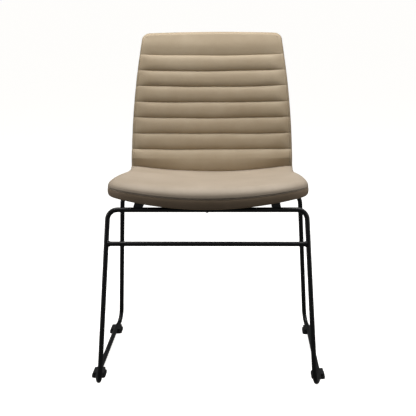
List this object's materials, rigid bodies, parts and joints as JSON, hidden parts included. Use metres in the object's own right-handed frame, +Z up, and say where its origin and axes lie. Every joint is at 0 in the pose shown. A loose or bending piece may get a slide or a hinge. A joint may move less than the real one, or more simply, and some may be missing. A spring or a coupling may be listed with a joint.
{
  "type": "sled base visitor chair",
  "caption": "Visitor chair with a steel rod sled base, a curved padded seat and a padded back sewn in cross channels.",
  "frame": {"origin": "on the floor, under the middle of the chair's footprint", "axes": "+Z up, the sitter faces -Y, +X is to the sitter's left"},
  "size_m": [0.5756, 0.619, 0.818],
  "materials": {
    "frame_coat": "satin black powder coat on steel",
    "spacer_plastic": "matte",
    "glide_plastic": "matte",
    "zinc_steel": "zinc plated",
    "plywood": "raw",
    "foam": "matte foam",
    "lining_foam": "matte foam",
    "seat_leather": "soft satin",
    "back_leather": "soft satin",
    "border_leather": "soft satin",
    "cover_cloth": "woven cloth"
  },
  "bodies": {
    "root": {"left_frame_rod": "frame_coat", "right_frame_rod": "frame_coat", "front_bar_weld": "frame_coat", "rear_bar_weld": "frame_coat", "lower_crossbar": "frame_coat", "crossbar_welds": "frame_coat", "front_left_mount_tab": "frame_coat", "front_right_mount_tab": "frame_coat", "rear_left_mount_tab": "frame_coat", "rear_right_mount_tab": "frame_coat", "front_left_spacer": "spacer_plastic", "front_right_spacer": "spacer_plastic", "rear_left_spacer": "spacer_plastic", "rear_right_spacer": "spacer_plastic", "front_left_glide": "glide_plastic", "front_right_glide": "glide_plastic", "rear_left_glide": "glide_plastic", "rear_right_glide": "glide_plastic", "seat_screws": "zinc_steel", "screw_washers": "zinc_steel", "tee_nuts": "zinc_steel", "plywood_shell": "plywood", "seat_foam": "foam", "back_foam": "foam", "back_rear_lining": "lining_foam", "seat_top_panel": "seat_leather", "seat_border_band": "border_leather", "back_front_panel": "back_leather", "back_border_band": "border_leather", "back_rear_panel": "back_leather", "underseat_cover": "cover_cloth"}
  },
  "joints": []
}
